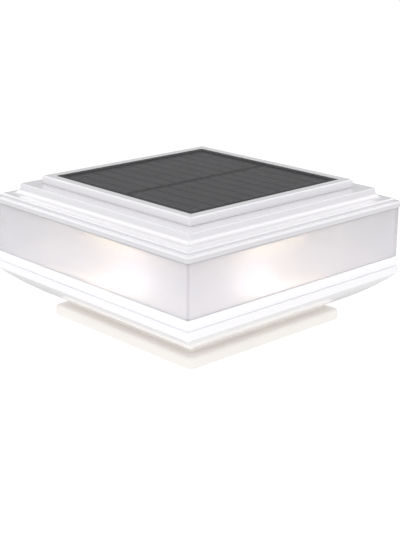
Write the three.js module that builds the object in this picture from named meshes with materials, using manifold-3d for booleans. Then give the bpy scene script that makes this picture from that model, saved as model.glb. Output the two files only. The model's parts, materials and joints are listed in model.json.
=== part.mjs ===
// A square solar post-cap light: a stepped cover with a solar panel on top, a lightly clouded lens band
// around a lit reflector, a tapered lower housing, and a collar plate that slides onto a square post.
//
// Units are millimetres and +Z is up. The origin is the middle of the mounting plate's underside, on
// the axis of the post. Front is -Y, back is +Y, left is -X and right is +X.
// Every square piece is described by its half width at each height, as a designer draws a section.

import * as THREE from 'three';
import { mergeVertices } from 'three/addons/utils/BufferGeometryUtils.js';
import Module from 'manifold-3d';

const wasm = await Module();
wasm.setup();

// ---------------------------------------------------------------- driving dimensions

const WALL = 2.2; // moulded wall
const GAP = 0.3; // gap that touching pieces keep
const CORNER_STEPS = 3; // facets in a quarter turn of a rounded corner
const EDGE = 0.5; // small rounding on moulded edges

// Post and mounting plate
const SOCKET_SIDE = 92; // opening that slides over a nominal 4 x 4 in post
const PLATE_RIM = 9; // how far the plate reaches past the socket
const PLATE_HEIGHT = 5.5;
const PLATE_CORNER = 3;
const SPIGOT_WALL = 2.4; // upstanding tube of the plate that locates the lamp
const SPIGOT_HEIGHT = 10.5;
const SHADOW_GAP = 3.1; // open gap between the plate and the lower housing
const SPIGOT_CLEARANCE = 0.4; // sliding clearance around the spigot

// Lower housing
const BODY_CORNER = 2.4;
const TAPER_HEIGHT = 18;
const TAPER_BULGE = 1.8; // how far the tapered underside swells out of a straight slope
const RIM_HEIGHT = 3.9;
const SOCKET_DEPTH = 30; // from the underside of the plate to the ceiling of the socket
const RIB_THICKNESS = 1.6;
const RIB_OFFSET = 30; // ribs stand this far from the middle of each side
const PAD_HEIGHT = 2.6; // pads under the socket ceiling, which rest on the top of the post
const PAD_LENGTH = 14;
const PAD_WIDTH = 4;
const PAD_INSET = 8; // middle of each pad inside the socket wall

// Lens and reflector
const LENS_HEIGHT = 31.9;
const LENS_WALL = 2.2;
const LENS_INSET = 0.9; // lens face behind the rim and the flange
const UPSTAND_HEIGHT = 3.2; // reflector's outer lip, seen through the foot of the lens
const REFLECTOR_WALL = 1.6;
const REFLECTOR_MARGIN = 4; // upright part of the reflector, outside the socket
const REFLECTOR_SPREAD = 2.6; // how much wider each side of the reflector is at its foot
const REFLECTOR_FLOOR = 2;
const REFLECTOR_FILLET = 2; // rounding between the floor and the upright part
const REFLECTOR_BEND_DROP = 2; // the upright part starts this far below the lamp boards

// Top cover, from the flange upwards. With the panel's side, its treads set the width of the whole light.
const FLANGE_HEIGHT = 3.1;
const FLANGE_TREAD = 2.8;
const STEP_HEIGHT = 1.5;
const STEP_TREAD = 3.6;
const COVE_HEIGHT = 5.3;
const COVE_RUN = 3.9;
const BEZEL_HEIGHT = 4.4;
const BEZEL_WIDTH = 5;
const LEDGE_WIDTH = 8.4; // flat ledge around the bezel
const LOCATING_RIB = 1.8; // thickness and depth of the rib that locates the lens
const SEAL_WIDTH = 1.2;
const SEAL_HEIGHT = 1;

// Solar panel
const PANEL_SIDE = 105;
const PANEL_CORNER = 1;
const SHEET_THICKNESS = 0.6;
const CELL_THICKNESS = 0.3;
const BACKING_THICKNESS = 1.6;
const ADHESIVE_THICKNESS = 0.8;
const ADHESIVE_WIDTH = 8;
const ADHESIVE_INSET = 3; // inside the edge of the backing
const PANEL_RECESS = 0.2; // panel face below the bezel
const CELL_COLUMNS = 11;
const CELL_BORDER = 3; // dark border between the cells and the panel's edge
const CELL_GAP = 0.5;
const ROW_GAP = 4.6;
const RIBBON_WIDTH = 1.6;
const RIBBON_THICKNESS = 0.15;

// Lamp boards
const LAMP_BOARD_LENGTH = 44;
const LAMP_BOARD_HEIGHT = 7;
const LAMP_BOARD_THICKNESS = 1;
const LAMP_BOARD_DROP = 10.6; // top edge of the board below the reflector's top edge
const LEDS_PER_BOARD = 3;
const LED_PITCH = 14;
const LED_SIZE = [3.5, 1.2, 2.8];
const LEAD_DIAMETER = 1.6;
const LEAD_HOLE = 3.4;

// Battery, its tray and its door
const BATTERY_DIAMETER = 14.5;
const BATTERY_LENGTH = 50.5;
const BATTERY_NUB_DIAMETER = 5.2;
const BATTERY_NUB_HEIGHT = 1.5;
const BATTERY_Y = -12;
const CONTACT_ROOM = 5; // length that the spring end takes
const CONTACT_THICKNESS = 0.5;
const CONTACT_WIDTH = 9;
const TAB_WIDTH = 3; // solder tabs through the tray's roof
const TAB_RISE = 2;
const TRAY_WALL = 1.6;
const SPRING_WIRE = 0.8;
const SPRING_TURNS = 3;
const DOOR_RELIEF = 0.2; // the door is this much thinner than the wall it closes
const DOOR_CLEARANCE = 0.4;
const DOOR_MARGIN = 1; // door opening wider than the tray's inside, on each side
const HINGE_RADIUS = 1.7;
const HINGE_OFFSET = 2.5; // hinge line behind the edge of the door plate
const HINGE_LENGTH = 24;
const HINGE_PIN_DIAMETER = 1.6;
const LUG_LENGTH = 3.6;
const PULL_LENGTH = 16; // finger pull on the door
const PULL_DIAMETER = 2.2;

// Push switch
const SWITCH_POSITION = [18, 27];
const SWITCH_CAP_DIAMETER = 8;
const SWITCH_TRAVEL = 1.5;
const SWITCH_PROUD = 1.8; // the cap stands this far out of the socket ceiling
const SWITCH_BODY_SIDE = 13;
const SWITCH_BODY_HEIGHT = 7.5;
const SWITCH_STEM_DIAMETER = 4;
const SWITCH_STEM_REACH = 3; // stem above the foot of the switch body

// Case screws and the bosses they turn into
const CASE_SCREW_INSET = 8; // each way inside the socket wall
const SCREW_DIAMETER = 2.6;
const SCREW_HEAD_DIAMETER = 5.6;
const SCREW_HEAD_HEIGHT = 1.8;
const CASE_SCREW_LENGTH = 14;
const BOSS_WALL = 0.75; // around the recess for a screw's head
const BOSS_RISE = 2.8; // screw boss above the socket ceiling

// Control board
const BOARD_SIZE = [56, 36, 1.6];
const BOARD_CENTRE_Y = 6;
const LEAD_SHARE = 0.683; // of the height left over, the part below the board, for the leads
const CAPACITOR_HEIGHT = 7.5; // tallest part on the board
const BOARD_BOSS_OFFSET = 22;
const BOARD_BOSS_DIAMETER = 6;
const BOARD_SCREW_LENGTH = 7;
const LEAD_PORT_Y = 18; // panel leads pass through the cover here
const LEAD_SPACING = 4;
const LAMP_LEAD_SHIFT = -9; // lamp leads land beside the middle of the board's edge

// ---------------------------------------------------------------- heights and half widths

const plateTop = PLATE_HEIGHT;
const spigotTop = plateTop + SPIGOT_HEIGHT;
const taperFoot = plateTop + SHADOW_GAP;
const rimFoot = taperFoot + TAPER_HEIGHT;
const rimTop = rimFoot + RIM_HEIGHT;
const ceilingTop = SOCKET_DEPTH + WALL;
const lensFoot = rimTop + GAP;
const lensTop = lensFoot + LENS_HEIGHT;
const flangeFoot = lensTop + GAP;
const flangeTop = flangeFoot + FLANGE_HEIGHT;
const stepTop = flangeTop + STEP_HEIGHT;
const ledgeTop = stepTop + COVE_HEIGHT;
const coverTop = ledgeTop + BEZEL_HEIGHT;
const coverCeiling = ledgeTop - WALL;

const sheetTop = coverTop - PANEL_RECESS;
const cellTop = sheetTop - SHEET_THICKNESS - GAP;
const backingTop = cellTop - CELL_THICKNESS - GAP;
const adhesiveTop = backingTop - BACKING_THICKNESS - GAP;
const pocketFloor = adhesiveTop - ADHESIVE_THICKNESS - GAP;

const socketHalf = SOCKET_SIDE / 2;
const plateHalf = socketHalf + PLATE_RIM;
const spigotHalf = socketHalf + SPIGOT_WALL;
const guideHalf = spigotHalf + SPIGOT_CLEARANCE;
const panelHalf = PANEL_SIDE / 2;
const pocketHalf = panelHalf + GAP;
const bezelHalf = pocketHalf + BEZEL_WIDTH;
const ledgeHalf = bezelHalf + LEDGE_WIDTH;
const coveFootHalf = ledgeHalf + COVE_RUN;
const nosingHalf = coveFootHalf + STEP_TREAD;
const bodyHalf = nosingHalf + FLANGE_TREAD;
const lensHalf = bodyHalf - LENS_INSET;
const lensInner = lensHalf - LENS_WALL;
const locatingHalf = lensInner - GAP;
const reflectorHalf = socketHalf + REFLECTOR_MARGIN;
const screwRecess = SCREW_HEAD_DIAMETER + 3 * GAP;
const bossDiameter = screwRecess + 2 * BOSS_WALL;
const reflectorFloorTop = lensFoot + REFLECTOR_FLOOR;
const reflectorTop = coverCeiling - GAP;

// ---------------------------------------------------------------- geometry helpers

// A closed three.js geometry as a solid that can be joined and cut.
function solid(geometry) {
  const bare = geometry.clone();
  bare.deleteAttribute('normal');
  bare.deleteAttribute('uv');
  const merged = mergeVertices(bare, 1e-4);
  const vertProperties = new Float32Array(merged.attributes.position.array);
  const triVerts = new Uint32Array(merged.index.array);
  return new wasm.Manifold(new wasm.Mesh({ numProp: 3, vertProperties, triVerts }));
}

// A solid's triangles as a three.js geometry.
function geometryOf(shape) {
  const mesh = shape.getMesh();
  const geometry = new THREE.BufferGeometry();
  geometry.setAttribute('position', new THREE.BufferAttribute(mesh.vertProperties, 3));
  geometry.setIndex(new THREE.BufferAttribute(mesh.triVerts, 1));
  geometry.computeVertexNormals();
  return geometry;
}

// The points of one rounded square, anticlockwise.
function squarePoints(half, radius, z) {
  const round = Math.min(radius, half * 0.9);
  const points = [];
  for (let corner = 0; corner < 4; corner += 1) {
    const start = (corner * Math.PI) / 2;
    const x = (half - round) * (corner === 0 || corner === 3 ? 1 : -1);
    const y = (half - round) * (corner < 2 ? 1 : -1);
    for (let step = 0; step <= CORNER_STEPS; step += 1) {
      const angle = start + (step * Math.PI) / 2 / CORNER_STEPS;
      points.push([x + round * Math.cos(angle), y + round * Math.sin(angle), z]);
    }
  }
  return points;
}

// A square solid from its section: [half width, height] points from its foot to its top. The corner
// radius holds at the widest point, and narrower places keep the same rounding, never under the edge's.
function squareSolid(section, corner) {
  const widest = Math.max(...section.map(([half]) => half));
  const rings = section.map(([half, z]) => {
    const radius = Math.max(corner - (widest - half) / 2, EDGE);
    return squarePoints(half, radius, z);
  });
  const count = rings[0].length;
  const positions = rings.flat(2);
  const index = [];
  for (let ring = 0; ring < rings.length - 1; ring += 1) {
    for (let i = 0; i < count; i += 1) {
      const a = ring * count + i;
      const b = ring * count + ((i + 1) % count);
      index.push(a, b, b + count);
      index.push(a, b + count, a + count);
    }
  }
  const last = (rings.length - 1) * count;
  for (let i = 1; i < count - 1; i += 1) {
    index.push(0, i + 1, i);
    index.push(last, last + i, last + i + 1);
  }
  const geometry = new THREE.BufferGeometry();
  geometry.setAttribute('position', new THREE.Float32BufferAttribute(positions, 3));
  geometry.setIndex(index);
  return solid(geometry);
}

// A straight square block between two heights.
function squareBlock(half, low, high, corner) {
  return squareSolid([[half, low], [half, high]], corner);
}

// A square ring between two half widths and two heights.
function squareRing(outer, inner, low, high, corner) {
  const bore = squareBlock(inner, low - 1, high + 1, Math.max(corner - (outer - inner), EDGE));
  return squareBlock(outer, low, high, corner).subtract(bore);
}

function box(x0, x1, y0, y1, z0, z1) {
  const geometry = new THREE.BoxGeometry(x1 - x0, y1 - y0, z1 - z0);
  geometry.translate((x0 + x1) / 2, (y0 + y1) / 2, (z0 + z1) / 2);
  return solid(geometry);
}

// An upright round post between two heights.
function post(x, y, diameter, low, high, sides = 16) {
  const geometry = new THREE.CylinderGeometry(diameter / 2, diameter / 2, high - low, sides);
  geometry.rotateX(Math.PI / 2);
  geometry.translate(x, y, (low + high) / 2);
  return solid(geometry);
}

// A round rod along X.
function rodX(x0, x1, y, z, diameter, sides = 14) {
  const geometry = new THREE.CylinderGeometry(diameter / 2, diameter / 2, x1 - x0, sides);
  geometry.rotateZ(Math.PI / 2);
  geometry.translate((x0 + x1) / 2, y, z);
  return solid(geometry);
}

function ringSection(diameter, sides) {
  const shape = new THREE.Shape();
  shape.absarc(0, 0, diameter / 2, 0, Math.PI * 2);
  return new THREE.Shape(shape.getSpacedPoints(sides).slice(0, sides));
}

// A round wire along a smooth curve.
function wire(curve, diameter, steps, sides = 8) {
  return new THREE.ExtrudeGeometry(ringSection(diameter, sides), { steps, extrudePath: curve });
}

function leadAlong(points, steps = 14) {
  const curve = new THREE.CatmullRomCurve3(points.map((p) => new THREE.Vector3(...p)), false, 'centripetal');
  return wire(curve, LEAD_DIAMETER, steps);
}

// The section points of a quarter-like arc bulging from one [half, height] point to another.
function bulgedArc(from, control, to, steps) {
  const curve = new THREE.QuadraticBezierCurve(
    new THREE.Vector2(...from),
    new THREE.Vector2(...control),
    new THREE.Vector2(...to),
  );
  return curve.getPoints(steps).map((p) => [p.x, p.y]);
}

// The section points of a small rounding where a side meets a flat top.
function roundedEdge(half, top, size) {
  return bulgedArc([half, top - size], [half, top], [half - size, top], 3);
}

const fourSigns = [[-1, -1], [1, -1], [1, 1], [-1, 1]];

// ---------------------------------------------------------------- materials

function plastic(color, roughness = 0.35) {
  return new THREE.MeshStandardMaterial({ color, roughness, metalness: 0 });
}

function metal(color, roughness = 0.35) {
  return new THREE.MeshStandardMaterial({ color, roughness, metalness: 1 });
}

const group = new THREE.Group();

function add(name, geometry, material, parent = group) {
  const mesh = new THREE.Mesh(geometry, material);
  mesh.name = name;
  parent.add(mesh);
  return mesh;
}

// ---------------------------------------------------------------- mounting plate

function mountingPlate() {
  const plate = squareSolid(
    [
      [plateHalf - EDGE, 0],
      [plateHalf, EDGE],
      ...roundedEdge(plateHalf, plateTop, 3 * EDGE),
    ],
    PLATE_CORNER,
  );
  const spigot = squareSolid(
    [
      [spigotHalf, plateTop - 1],
      [spigotHalf, spigotTop - EDGE],
      [spigotHalf - EDGE, spigotTop],
    ],
    PLATE_CORNER / 2,
  );
  const bore = squareBlock(socketHalf, -1, spigotTop + 1, EDGE);
  return plate.add(spigot).subtract(bore);
}

add('mounting_plate', geometryOf(mountingPlate()), plastic(0xf1ece6, 0.45));

// ---------------------------------------------------------------- battery tray and its contacts

const trayInnerX = (BATTERY_LENGTH + CONTACT_ROOM + 2 * GAP + 2 * CONTACT_THICKNESS) / 2;
const trayInnerY = BATTERY_DIAMETER / 2 + GAP;
const trayFoot = ceilingTop + GAP;
const batteryZ = trayFoot + BATTERY_DIAMETER / 2 + GAP;
const trayTop = batteryZ + BATTERY_DIAMETER / 2 + GAP + TRAY_WALL;
const doorHalfX = trayInnerX + DOOR_MARGIN;
const doorHalfY = trayInnerY + DOOR_MARGIN;
const tabSlot = CONTACT_THICKNESS + 2 * GAP;
const tabTop = trayTop + TAB_RISE;
const plusX = trayInnerX - GAP - CONTACT_THICKNESS;
const batteryEndX = plusX - GAP;
const minusX = -trayInnerX + GAP;

function batteryTray() {
  const outerX = trayInnerX + TRAY_WALL;
  const outerY = trayInnerY + TRAY_WALL;
  const block = box(-outerX, outerX, BATTERY_Y - outerY, BATTERY_Y + outerY, trayFoot, trayTop);
  const room = box(
    -trayInnerX,
    trayInnerX,
    BATTERY_Y - trayInnerY,
    BATTERY_Y + trayInnerY,
    trayFoot - 1,
    trayTop - TRAY_WALL,
  );
  let tray = block.subtract(room);
  for (const side of [-1, 1]) {
    const outer = side * (trayInnerX + GAP);
    const inner = side * (trayInnerX - tabSlot - GAP);
    const slot = box(
      Math.min(outer, inner),
      Math.max(outer, inner),
      BATTERY_Y - TAB_WIDTH / 2 - GAP,
      BATTERY_Y + TAB_WIDTH / 2 + GAP,
      trayTop - 2 * TRAY_WALL,
      trayTop + 1,
    );
    tray = tray.subtract(slot);
  }
  return tray;
}

// A contact plate that stands at one end of the tray, with a solder tab through the tray's roof.
function contactPlate(x) {
  const plate = box(
    x,
    x + CONTACT_THICKNESS,
    BATTERY_Y - CONTACT_WIDTH / 2,
    BATTERY_Y + CONTACT_WIDTH / 2,
    batteryZ - CONTACT_WIDTH / 2,
    batteryZ + CONTACT_WIDTH / 2,
  );
  const tab = box(
    x,
    x + CONTACT_THICKNESS,
    BATTERY_Y - TAB_WIDTH / 2,
    BATTERY_Y + TAB_WIDTH / 2,
    batteryZ,
    tabTop,
  );
  return plate.add(tab);
}

// The coil narrows from the contact plate to the battery's foot.
class ConeSpringCurve extends THREE.Curve {
  getPoint(t, target = new THREE.Vector3()) {
    const foot = minusX + CONTACT_THICKNESS / 2;
    const length = CONTACT_ROOM - SPRING_WIRE - CONTACT_THICKNESS / 2;
    const radius = THREE.MathUtils.lerp(CONTACT_WIDTH / 2 - SPRING_WIRE, CONTACT_WIDTH / 4, t);
    const angle = t * SPRING_TURNS * Math.PI * 2;
    const y = BATTERY_Y + radius * Math.cos(angle);
    return target.set(foot + t * length, y, batteryZ + radius * Math.sin(angle));
  }
}

function batterySpring() {
  const coil = solid(wire(new ConeSpringCurve(), SPRING_WIRE, SPRING_TURNS * 12, 6));
  return contactPlate(minusX).add(coil);
}

function batteryCell() {
  const radius = BATTERY_DIAMETER / 2;
  const nub = BATTERY_NUB_DIAMETER / 2;
  const can = BATTERY_LENGTH - BATTERY_NUB_HEIGHT;
  const outline = [
    [0, 0],
    [radius - EDGE, 0],
    [radius, EDGE],
    [radius, can - EDGE],
    [radius - EDGE, can],
    [nub, can],
    [nub, BATTERY_LENGTH],
    [0, BATTERY_LENGTH],
  ];
  const geometry = new THREE.LatheGeometry(outline.map(([r, y]) => new THREE.Vector2(r, y)), 24);
  geometry.rotateZ(-Math.PI / 2);
  return geometry;
}

add('battery_tray', geometryOf(batteryTray()), plastic(0xdadadc, 0.5));
add('battery_spring', geometryOf(batterySpring()), metal(0xb8bcc2, 0.3));
add('battery_contact', geometryOf(contactPlate(plusX)), metal(0xb8bcc2, 0.3));
const battery = add('battery', batteryCell(), plastic(0x2f6b46, 0.4));
battery.position.set(batteryEndX - BATTERY_LENGTH, BATTERY_Y, batteryZ);

// ---------------------------------------------------------------- battery door

const doorLow = SOCKET_DEPTH + DOOR_CLEARANCE / 4;
const doorThickness = WALL - DOOR_RELIEF;
const hingeY = BATTERY_Y - doorHalfY - HINGE_OFFSET + DOOR_CLEARANCE;
const hingeZ = doorLow + doorThickness / 2;
const hingeHalf = HINGE_LENGTH / 2;
const lugOuter = hingeHalf + DOOR_CLEARANCE + LUG_LENGTH;

function batteryDoor() {
  const y0 = BATTERY_Y - doorHalfY + DOOR_CLEARANCE;
  const y1 = BATTERY_Y + doorHalfY - DOOR_CLEARANCE;
  const x1 = doorHalfX - DOOR_CLEARANCE;
  const plate = box(-x1, x1, y0, y1, doorLow, doorLow + doorThickness);
  const neck = box(-hingeHalf, hingeHalf, hingeY, y0 + 1, doorLow, doorLow + doorThickness);
  const barrel = rodX(-hingeHalf, hingeHalf, hingeY, hingeZ, 2 * HINGE_RADIUS);
  const pinHole = rodX(-hingeHalf - 1, hingeHalf + 1, hingeY, hingeZ, HINGE_PIN_DIAMETER + 2 * GAP);
  const pull = rodX(-PULL_LENGTH / 2, PULL_LENGTH / 2, y1 - PULL_DIAMETER - GAP, doorLow, PULL_DIAMETER, 10);
  return plate.add(neck).add(barrel).subtract(pinHole).add(pull);
}

add('battery_door', geometryOf(batteryDoor()), plastic(0xf3f2f4, 0.4));

const pinGeometry = new THREE.CylinderGeometry(
  HINGE_PIN_DIAMETER / 2,
  HINGE_PIN_DIAMETER / 2,
  2 * lugOuter,
  12,
);
const hingePin = add('door_hinge_pin', pinGeometry, metal(0xc4c7cb, 0.25));
hingePin.rotation.z = Math.PI / 2;
hingePin.position.set(0, hingeY, hingeZ);

// ---------------------------------------------------------------- push switch

const [switchX, switchY] = SWITCH_POSITION;
const switchFoot = ceilingTop + GAP;
const capLow = SOCKET_DEPTH - SWITCH_PROUD;
const capShoulder = switchFoot - GAP;
const stemTop = switchFoot + SWITCH_STEM_REACH;

function switchBody() {
  const half = SWITCH_BODY_SIDE / 2;
  const block = box(
    switchX - half,
    switchX + half,
    switchY - half,
    switchY + half,
    switchFoot,
    switchFoot + SWITCH_BODY_HEIGHT,
  );
  const recess = post(
    switchX,
    switchY,
    SWITCH_CAP_DIAMETER + 4 * GAP,
    switchFoot - 1,
    capShoulder + SWITCH_TRAVEL + GAP,
  );
  const bore = post(
    switchX,
    switchY,
    SWITCH_STEM_DIAMETER + 2 * GAP,
    switchFoot - 1,
    stemTop + SWITCH_TRAVEL + GAP,
  );
  return block.subtract(recess).subtract(bore);
}

function switchCap() {
  const cap = post(switchX, switchY, SWITCH_CAP_DIAMETER, capLow, capShoulder, 20);
  const stem = post(switchX, switchY, SWITCH_STEM_DIAMETER, capShoulder - 1, stemTop, 12);
  return cap.add(stem);
}

add('switch_body', geometryOf(switchBody()), plastic(0x26272a, 0.45));
add('switch_cap', geometryOf(switchCap()), plastic(0x3a3b3f, 0.4));

// ---------------------------------------------------------------- lower housing

const screwOffset = socketHalf - CASE_SCREW_INSET;
const screwSpots = fourSigns.map(([sx, sy]) => [sx * screwOffset, sy * screwOffset]);
const screwSeat = SOCKET_DEPTH + SCREW_HEAD_HEIGHT + 2 * GAP;
const screwBossTop = ceilingTop + BOSS_RISE;

function taperSection(shrink) {
  const foot = [guideHalf + WALL - shrink, taperFoot];
  const top = [bodyHalf - shrink, rimFoot];
  const middle = [(foot[0] + top[0]) / 2 + TAPER_BULGE, (foot[1] + top[1]) / 2 - TAPER_BULGE];
  return bulgedArc(foot, middle, top, 6);
}

// The bowl between the socket wall and the tapered skin.
function bowl() {
  const skin = taperSection(WALL / 2).map(([half, z]) => [half, z + WALL]);
  const lip = bodyHalf - LENS_INSET - LENS_WALL - WALL;
  const lower = skin.filter(([half]) => half < lip);
  return squareSolid([...lower, [lip, rimFoot + WALL / 2], [lip, rimTop + 1]], BODY_CORNER);
}

function socketBlock() {
  const shoulder = spigotTop + GAP + WALL;
  return squareSolid(
    [
      [guideHalf + WALL, taperFoot],
      [guideHalf + WALL, shoulder],
      [socketHalf + WALL, shoulder + WALL],
      [socketHalf + WALL, ceilingTop],
    ],
    PLATE_CORNER / 2,
  );
}

function housingRibs() {
  const reach = bodyHalf;
  let ribs = null;
  for (const offset of [-RIB_OFFSET, RIB_OFFSET]) {
    const half = RIB_THICKNESS / 2;
    const alongX = box(-reach, reach, offset - half, offset + half, taperFoot, rimTop);
    const alongY = box(offset - half, offset + half, -reach, reach, taperFoot, rimTop);
    const pair = alongX.add(alongY);
    ribs = ribs ? ribs.add(pair) : pair;
  }
  const inside = squareBlock(socketHalf + 1, 0, rimTop + 1, EDGE);
  return ribs.subtract(inside);
}

function postPads() {
  const low = SOCKET_DEPTH - PAD_HEIGHT;
  const high = SOCKET_DEPTH + 1;
  const offset = socketHalf - PAD_INSET;
  const near = offset - PAD_WIDTH / 2;
  const far = offset + PAD_WIDTH / 2;
  const pad = box(-PAD_LENGTH / 2, PAD_LENGTH / 2, near, far, low, high);
  const turned = [90, 180, 270].map((angle) => pad.rotate([0, 0, angle]));
  return turned.reduce((pads, next) => pads.add(next), pad);
}

function lowerHousing() {
  const outline = squareSolid(
    [
      ...taperSection(0),
      [bodyHalf, rimTop - EDGE],
      [bodyHalf - EDGE, rimTop],
    ],
    BODY_CORNER,
  );
  let housing = outline.subtract(bowl().subtract(housingRibs()));
  housing = housing.add(socketBlock());
  for (const [x, y] of screwSpots) {
    housing = housing.add(post(x, y, bossDiameter, SOCKET_DEPTH, screwBossTop));
  }
  housing = housing.subtract(squareBlock(guideHalf, taperFoot - 1, spigotTop + GAP, PLATE_CORNER / 2));
  housing = housing.subtract(squareBlock(socketHalf, taperFoot - 1, SOCKET_DEPTH, EDGE));
  for (const [x, y] of screwSpots) {
    housing = housing.subtract(post(x, y, screwRecess, SOCKET_DEPTH - 1, screwSeat));
    housing = housing.subtract(post(x, y, SCREW_DIAMETER + 2 * GAP, SOCKET_DEPTH, screwBossTop + 1));
  }
  housing = housing.add(postPads());
  housing = housing.subtract(
    post(switchX, switchY, SWITCH_CAP_DIAMETER + 2 * GAP, SOCKET_DEPTH - 1, ceilingTop + 1, 20),
  );
  housing = housing.subtract(
    box(
      -doorHalfX,
      doorHalfX,
      BATTERY_Y - doorHalfY,
      BATTERY_Y + doorHalfY,
      SOCKET_DEPTH - 1,
      ceilingTop + 1,
    ),
  );
  const notchX = lugOuter + DOOR_CLEARANCE;
  const notchY = hingeY - HINGE_RADIUS - DOOR_CLEARANCE;
  housing = housing.subtract(
    box(-notchX, notchX, notchY, BATTERY_Y, SOCKET_DEPTH - 1, ceilingTop + 1),
  );
  for (const side of [-1, 1]) {
    const x0 = side < 0 ? -lugOuter : hingeHalf + DOOR_CLEARANCE;
    const x1 = side < 0 ? -hingeHalf - DOOR_CLEARANCE : lugOuter;
    const lug = rodX(x0, x1, hingeY, hingeZ, 2 * HINGE_RADIUS);
    const root = box(x0, x1, notchY - 1, hingeY, SOCKET_DEPTH, ceilingTop);
    housing = housing.add(lug).add(root);
  }
  housing = housing.subtract(
    rodX(-lugOuter - 1, lugOuter + 1, hingeY, hingeZ, HINGE_PIN_DIAMETER + 2 * GAP),
  );
  const seat = squareRing(
    lensHalf - (LENS_WALL - SEAL_WIDTH) / 2 + GAP,
    lensInner + (LENS_WALL - SEAL_WIDTH) / 2 - GAP,
    rimTop - SEAL_HEIGHT - GAP,
    rimTop + 1,
    BODY_CORNER,
  );
  return housing.subtract(seat);
}

add('lower_housing', geometryOf(lowerHousing()), plastic(0xf4f2f5, 0.3));

// ---------------------------------------------------------------- seals and lens

function sealRing(low) {
  const inset = (LENS_WALL - SEAL_WIDTH) / 2;
  return squareRing(lensHalf - inset, lensInner + inset, low, low + SEAL_HEIGHT, BODY_CORNER);
}

function lens() {
  const outer = squareSolid(
    [
      [lensHalf - EDGE / 2, lensFoot],
      [lensHalf, lensFoot + EDGE],
      [lensHalf, lensTop - EDGE],
      [lensHalf - EDGE / 2, lensTop],
    ],
    BODY_CORNER,
  );
  return outer.subtract(squareBlock(lensInner, lensFoot - 1, lensTop + 1, EDGE));
}

add('lower_seal', geometryOf(sealRing(rimTop - SEAL_HEIGHT)), plastic(0x9fa0a4, 0.7));
add('lens', geometryOf(lens()), plastic(0xf2effa, 0.08));
add('cover_seal', geometryOf(sealRing(flangeFoot)), plastic(0x9fa0a4, 0.7));

// ---------------------------------------------------------------- reflector

const bendZ = reflectorTop - LAMP_BOARD_DROP - LAMP_BOARD_HEIGHT - REFLECTOR_BEND_DROP;
const lampHoleZ = reflectorTop - LAMP_BOARD_DROP / 2;

function reflector() {
  const footHalf = reflectorHalf + REFLECTOR_SPREAD;
  const lipInner = locatingHalf - REFLECTOR_WALL;
  const lipFillet = (UPSTAND_HEIGHT - REFLECTOR_FLOOR) / 2;
  const outer = squareSolid(
    [
      [locatingHalf, lensFoot],
      [locatingHalf, lensFoot + UPSTAND_HEIGHT],
      [lipInner, lensFoot + UPSTAND_HEIGHT],
      ...bulgedArc(
        [lipInner - EDGE, reflectorFloorTop + lipFillet],
        [lipInner - EDGE, reflectorFloorTop],
        [lipInner - EDGE - lipFillet, reflectorFloorTop],
        3,
      ),
      ...bulgedArc(
        [footHalf + REFLECTOR_FILLET, reflectorFloorTop],
        [footHalf, reflectorFloorTop],
        [footHalf - EDGE, reflectorFloorTop + REFLECTOR_FILLET],
        3,
      ),
      [reflectorHalf, bendZ],
      [reflectorHalf, reflectorTop],
    ],
    BODY_CORNER,
  );
  const inner = squareSolid(
    [
      [footHalf - REFLECTOR_WALL, lensFoot - 1],
      [footHalf - REFLECTOR_WALL, reflectorFloorTop],
      [reflectorHalf - REFLECTOR_WALL, bendZ],
      [reflectorHalf - REFLECTOR_WALL, reflectorTop + 1],
    ],
    EDGE,
  );
  const reach = reflectorHalf + 1;
  const across = rodX(-reach, reach, 0, lampHoleZ, LEAD_HOLE, 12);
  return outer.subtract(inner).subtract(across).subtract(across.rotate([0, 0, 90]));
}

add('reflector', geometryOf(reflector()), plastic(0xf8f6fa, 0.5));

// ---------------------------------------------------------------- top cover

const spareHeight = coverCeiling - tabTop - BOARD_SIZE[2] - CAPACITOR_HEIGHT - GAP;
const leadRoom = LEAD_SHARE * spareHeight;
const boardLow = tabTop + leadRoom;
const boardTop = boardLow + BOARD_SIZE[2];
const boardBossSpots = [-1, 1].map((side) => [side * BOARD_BOSS_OFFSET, BOARD_CENTRE_Y]);

function coverOutline() {
  return squareSolid(
    [
      [bodyHalf - EDGE / 2, flangeFoot],
      [bodyHalf, flangeFoot + EDGE / 2],
      ...roundedEdge(bodyHalf, flangeTop, 2 * EDGE),
      [nosingHalf, flangeTop],
      ...bulgedArc(
        [nosingHalf, flangeTop + EDGE / 2],
        [nosingHalf, stepTop],
        [nosingHalf - STEP_HEIGHT, stepTop],
        4,
      ),
      ...bulgedArc(
        [coveFootHalf, stepTop],
        [ledgeHalf, stepTop + EDGE],
        [ledgeHalf, ledgeTop - EDGE / 2],
        6,
      ),
      [ledgeHalf - EDGE / 2, ledgeTop],
      [bezelHalf + EDGE, ledgeTop],
      ...roundedEdge(bezelHalf, coverTop, 2 * EDGE),
    ],
    BODY_CORNER,
  );
}

function coverCavity() {
  const rim = locatingHalf - LOCATING_RIB;
  return squareSolid(
    [
      [rim, flangeFoot - LOCATING_RIB - 1],
      [rim, flangeTop - WALL],
      [Math.min(rim, coveFootHalf - 1), flangeTop - WALL / 2],
      [ledgeHalf - WALL, coverCeiling],
    ],
    BODY_CORNER,
  );
}

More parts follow.
